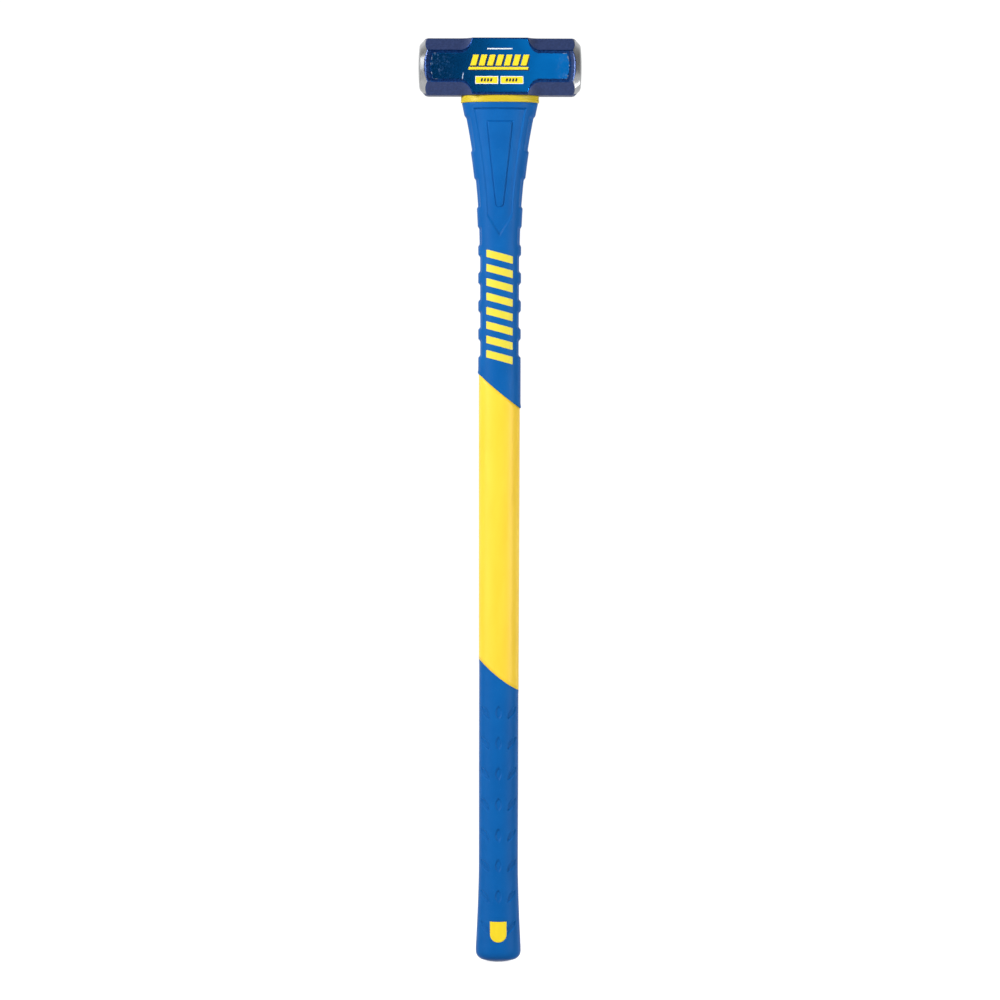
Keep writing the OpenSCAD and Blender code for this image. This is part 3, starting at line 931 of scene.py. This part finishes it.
def rounded(points, radius, steps=5):
    """A polygon with each corner turned into an arc."""
    points = np.asarray(points, dtype=float)
    out = []
    for i, corner in enumerate(points):
        before = points[i - 1] - corner
        after = points[(i + 1) % len(points)] - corner
        before, after = before / np.hypot(*before), after / np.hypot(*after)
        half = math.acos(np.clip(np.dot(before, after), -1, 1)) / 2
        inward = (before + after) / np.hypot(*(before + after))
        centre = corner + inward * radius / math.sin(half)
        start = corner + before * radius / math.tan(half) - centre
        end = corner + after * radius / math.tan(half) - centre
        for k in range(steps + 1):
            arm = start * (1 - k / steps) + end * k / steps
            out.append(centre + arm / np.hypot(*arm) * radius)
    return np.array(out)


def denser(points, step):
    """The same outline with points no further apart than step."""
    out = []
    for i, p in enumerate(points):
        q = points[(i + 1) % len(points)]
        parts = max(1, int(math.ceil(np.hypot(*(q - p)) / step)))
        out += [p + (q - p) * k / parts for k in range(parts)]
    return np.array(out)


def pad(outline, surface, side, lift, thick=1.6):
    """Points and faces of a pad that follows a handle surface. outline is in X and Z,
    surface gives the half depth there, and lift is how far the pad's face stands out."""
    centre = outline.mean(axis=0)
    sides = len(outline)
    rows = []
    edge = 0.28
    reach = np.hypot(*(outline - centre).T)[:, None]
    for share in np.linspace(0.06, 1, 14):
        rows.append((centre + (outline - centre) * share * (1 - edge / reach), lift))
    rows.append((centre + (outline - centre) * (1 - 0.3 * edge / reach), lift - 0.08))
    rows.append((outline, lift - edge))
    rows.append((outline, -thick))
    points = []
    for flat, up in rows:
        depth = surface(flat[:, 0], flat[:, 1]) + up
        points.append(np.stack([flat[:, 0], side * depth, flat[:, 1]], axis=-1))
    back = centre + (outline - centre) * 0.06
    points.append(np.stack([back[:, 0], side * (surface(back[:, 0], back[:, 1]) - thick),
                            back[:, 1]], axis=-1))
    count = len(points)
    verts = np.concatenate(points)
    middle = surface(centre[:1], centre[1:])[0]
    tips = [[centre[0], side * (middle + lift), centre[1]],
            [centre[0], side * (middle - thick), centre[1]]]
    faces = strip((count, sides)) + fan(0, sides, len(verts))
    faces += fan((count - 1) * sides, sides, len(verts) + 1)
    return np.concatenate([verts, tips]), faces


def joined_pads(name, pads, node, material):
    verts, faces = [], []
    for points, loops in pads:
        base = sum(len(v) for v in verts)
        faces += [tuple(base + i for i in loop) for loop in loops]
        verts.append(points)
    return make_piece(name, np.concatenate(verts), faces, node, [material])


def sleeve_depth(x, z):
    return depth_at(x, *sleeve_half(z))


def grip_depth(x, z):
    return depth_at(x, *grip_half(z))


INLAY_X, INLAY_BARS, BAR_H, BAR_RISE = inlay_high[0], 8, 7.6, 7.0
INLAY_TOP, INLAY_FOOT = inlay_high[2], inlay_low[2]


def build_inlays(side):
    name = "front" if side == FRONT else "back"
    pitch = (INLAY_TOP - INLAY_FOOT - BAR_RISE - BAR_H) / (INLAY_BARS - 1)
    pads = []
    for i in range(INLAY_BARS):
        top = INLAY_TOP - i * pitch
        corners = [(-INLAY_X, top), (-INLAY_X, top - BAR_H),
                   (INLAY_X, top - BAR_H - BAR_RISE), (INLAY_X, top - BAR_RISE)]
        outline = denser(rounded(corners, 0.7), 0.8)
        pads.append(pad(outline, sleeve_depth, side, 0.10))
    return joined_pads("inlay_bars_" + name, pads, "sleeve_inlay_" + name,
                       INLAY_YELLOW)


def build_window(side):
    name = "front" if side == FRONT else "back"
    centre = WINDOW_FOOT + WINDOW_X
    inset = 0.15
    arc = [(-(WINDOW_X - inset) * math.cos(q), centre - (WINDOW_X - inset) * math.sin(q))
           for q in np.linspace(0, math.pi, 40)]
    across = np.linspace(WINDOW_X - inset, -(WINDOW_X - inset), 24)
    top = [(x, window_top(x) - inset) for x in across]
    outline = denser(np.array(arc + top), 0.9)
    shape = pad(outline, grip_depth, side, -0.18)
    return joined_pads("window_pad_" + name, [shape], "butt_window_" + name,
                       WINDOW_YELLOW)


# ---- Cheek prints -------------------------------------------------------------------

# How far the prints sit below the middle that they are laid out from, and how far the
# marks' dark shadow lies to the right and down
PRINT_DROP, SHADOW_X, SHADOW_Z = 1.9, 1.1, 1.0


def slash(x, z, w, h, lean):
    return [(x, z), (x + w, z), (x + w + lean, z + h), (x + lean, z + h)]


def bar(x, z, w, h):
    return slash(x, z, w, h, 0)


def build_print(side):
    """The printed marks: slanted bars over a rule with a dark shadow, a short white rule,
    and two framed boxes with dark bars. Each layer lies on the one before."""
    name = "front" if side == FRONT else "back"
    yellow, dark, white = 0, 1, 2
    face, middle = HEAD_W / 2, HEAD_MID - PRINT_DROP
    marks = [slash(-29.5 + i * 8.3, 2.4, 5.6, 10.7, 3.0) for i in range(7)]
    marks.append(slash(-31.5, -1.7, 59.0, 2.6, 0.7))
    shapes = []
    for mark in marks:
        shadow = [(x + SHADOW_X, z - SHADOW_Z) for x, z in mark]
        shapes.append((shadow, 0.02, dark, 0.25))
        shapes.append((mark, 0.06, yellow, 0.25))
    shapes.append((bar(-12.8, 18.4, 25.0, 1.1), 0.05, white, 0.2))
    for left in (-24.5, 0.4):
        shapes.append((bar(left, -15.8, 22.7, 7.7), 0.03, white, 0.4))
        shapes.append((bar(left + 0.6, -15.2, 21.5, 6.5), 0.06, yellow, 0.3))
        for i in range(4):
            shapes.append((slash(left + 5.2 + i * 3.1, -13.5, 1.9, 3.1, 0.6), 0.09, dark, 0.2))
    verts, faces, which = [], [], []
    for outline, lift, material, radius in shapes:
        ring = rounded(outline, radius, 3)
        count = len(ring)
        base = len(verts)
        for up in (-0.2, lift):
            verts += [(x, side * (face + up), middle + z) for x, z in ring]
        sheet = [tuple(range(base, base + count))[::-1],
                 tuple(range(base + count, base + 2 * count))]
        sheet += [(base + i, base + (i + 1) % count, base + count + (i + 1) % count,
                   base + count + i) for i in range(count)]
        faces += sheet
        which += [material] * len(sheet)
    piece = make_piece("cheek_print_" + name, verts, faces, "cheek_label_" + name,
                       [PRINT_YELLOW, PRINT_DARK, PRINT_WHITE],
                       face_material=which)
    piece.data.polygons.foreach_set("use_smooth", [False] * len(piece.data.polygons))
    return piece


# ---- Build --------------------------------------------------------------------------

SLEEVE_BLUE = soft_blue("blue_sleeve_rubber", 0.11, 0.20)
GRIP_BLUE = soft_blue("blue_grip_rubber", 0.10, 1.0)
YELLOW = satin_yellow("yellow_jacket_plastic")
# The collar's yellow is a darker copy of the jacket's, as painted shade from the head above it
SHADED_COLLAR_YELLOW = satin_yellow("yellow_collar_painted_shade", (0.60, 0.455, 0.018),
                             (0.64, 0.495, 0.022))
INLAY_YELLOW = satin_yellow("yellow_inlay_plastic", (0.76, 0.645, 0.050),
                            (0.82, 0.705, 0.062))
WINDOW_YELLOW = satin_yellow("yellow_window_plastic", (0.88, 0.66, 0.018),
                             (0.93, 0.71, 0.024))
PRINT_YELLOW = printed("print_yellow", (0.88, 0.70, 0.015))
PRINT_DARK = printed("print_dark", (0.010, 0.012, 0.025))
PRINT_WHITE = printed("print_white", (0.82, 0.86, 0.90))

build_head()
build_sleeve()
build_jacket()
build_collar()
build_grip()
for which_side in (FRONT, BACK):
    build_inlays(which_side)
    build_window(which_side)
    build_print(which_side)

for node_name, finish in (("eye_epoxy", resin("cured_epoxy")),
                          ("fibreglass_core", fibreglass("fibreglass_rod")),
                          ("eye_seal", black_rubber("seal_rubber"))):
    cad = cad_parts[node_name]
    cad.data.materials.clear()
    cad.data.materials.append(finish)


# ---- Studio -------------------------------------------------------------------------


def build_floor():
    """A pale matte floor that is nearly white to the camera and dimmer in reflections."""
    size = 30.0
    mesh = bpy.data.meshes.new("floor")
    mesh.from_pydata([(-size, -size, 0), (size, -size, 0), (size, size, 0), (-size, size, 0)],
                     [], [(0, 1, 2, 3)])
    floor = bpy.data.objects.new("floor", mesh)
    s = Shader("pale_floor", Roughness=0.9, Specular_IOR_Level=0.1, Base_Color=(0.4, 0.4, 0.4),
               Emission_Color=(1, 1, 1))
    path = s.nodes.new("ShaderNodeLightPath").outputs
    seen_in_metal = s.mixed(path["Is Glossy Ray"], 0.15, 0.60)
    s.set("Emission Strength", s.mixed(path["Is Camera Ray"], seen_in_metal, 0.90))
    mesh.materials.append(s.material)
    bpy.context.scene.collection.objects.link(floor)


def build_world():
    """A white studio that is dimmer towards the front, and slightly on the right, so that
    polished metal has something dark to show. The backdrop itself is plain white."""
    world = bpy.data.worlds.new("studio")
    bpy.context.scene.world = world
    world.use_nodes = True
    tree = world.node_tree
    tree.nodes.clear()
    place = tree.nodes.new("ShaderNodeTexCoord")
    axis = tree.nodes.new("ShaderNodeSeparateXYZ")
    tree.links.new(place.outputs["Generated"], axis.inputs[0])
    shares = []
    for direction, low, high, dark, bright in (("Y", -0.35, 0.9, 0.05, 1.0),
                                               ("X", 1.0, -1.0, 0.75, 1.0)):
        share = tree.nodes.new("ShaderNodeMapRange")
        share.interpolation_type = "SMOOTHSTEP"
        tree.links.new(axis.outputs[direction], share.inputs["Value"])
        for key, value in (("From Min", low), ("From Max", high), ("To Min", dark),
                           ("To Max", bright)):
            share.inputs[key].default_value = value
        shares.append(share.outputs["Result"])
    dim = tree.nodes.new("ShaderNodeMath")
    dim.operation = "MULTIPLY"
    tree.links.new(shares[0], dim.inputs[0])
    tree.links.new(shares[1], dim.inputs[1])
    light, white = (tree.nodes.new("ShaderNodeBackground") for _ in range(2))
    for node in (light, white):
        node.inputs["Color"].default_value = (1, 1, 1, 1)
    tree.links.new(dim.outputs[0], light.inputs["Strength"])
    white.inputs["Strength"].default_value = 1.05
    path = tree.nodes.new("ShaderNodeLightPath")
    pick = tree.nodes.new("ShaderNodeMixShader")
    tree.links.new(path.outputs["Is Camera Ray"], pick.inputs[0])
    tree.links.new(light.outputs[0], pick.inputs[1])
    tree.links.new(white.outputs[0], pick.inputs[2])
    out = tree.nodes.new("ShaderNodeOutputWorld")
    tree.links.new(pick.outputs[0], out.inputs[0])


def area_light(name, place, target, size, watts):
    lamp = bpy.data.lights.new(name, "AREA")
    lamp.shape = "RECTANGLE"
    lamp.size, lamp.size_y = size
    lamp.energy = watts
    light = bpy.data.objects.new(name, lamp)
    light.location = place
    aim = mathutils.Vector(target) - light.location
    light.rotation_euler = aim.to_track_quat("-Z", "Y").to_euler()
    light.visible_camera = False
    bpy.context.scene.collection.objects.link(light)


def build_camera():
    """A long lens, level with the middle of the tool, straight in front of it and turned
    slightly, as the tool hangs."""
    distance, aside, middle = 6.0, 0.00085, 0.4579
    view_size = 0.992
    roll = math.radians(-0.12)
    data = bpy.data.cameras.new("camera")
    data.sensor_width = 36.0
    data.lens = data.sensor_width * distance / view_size
    data.clip_end = 100
    camera = bpy.data.objects.new("camera", data)
    camera.location = (aside, -distance, middle)
    camera.rotation_euler = (math.pi / 2, roll, 0)
    bpy.context.scene.collection.objects.link(camera)
    bpy.context.scene.camera = camera


build_floor()
build_world()
area_light("left_softbox", (-2.2, -2.0, 1.9), (0, 0, 0.5), (0.8, 1.0), 90)
area_light("right_softbox", (2.4, -2.0, 0.7), (0, 0, 0.5), (1.0, 1.6), 53)
area_light("left_tall_strip", (-1.7, -1.0, 0.5), (0, 0, 0.5), (0.25, 1.4), 6)
area_light("right_rim", (1.6, 0.7, 0.10), (0, 0, 0.45), (0.4, 0.6), 3.7)
area_light("left_strip", (-1.4, 0.0, 1.09), (0, 0, 0.86), (0.45, 0.26), 0.8)
area_light("cheek_card", (0.30, -0.95, 1.13), (0.30, 0, 1.13), (0.60, 0.5), 0.95)
build_camera()
bpy.context.scene.view_settings.view_transform = "Standard"
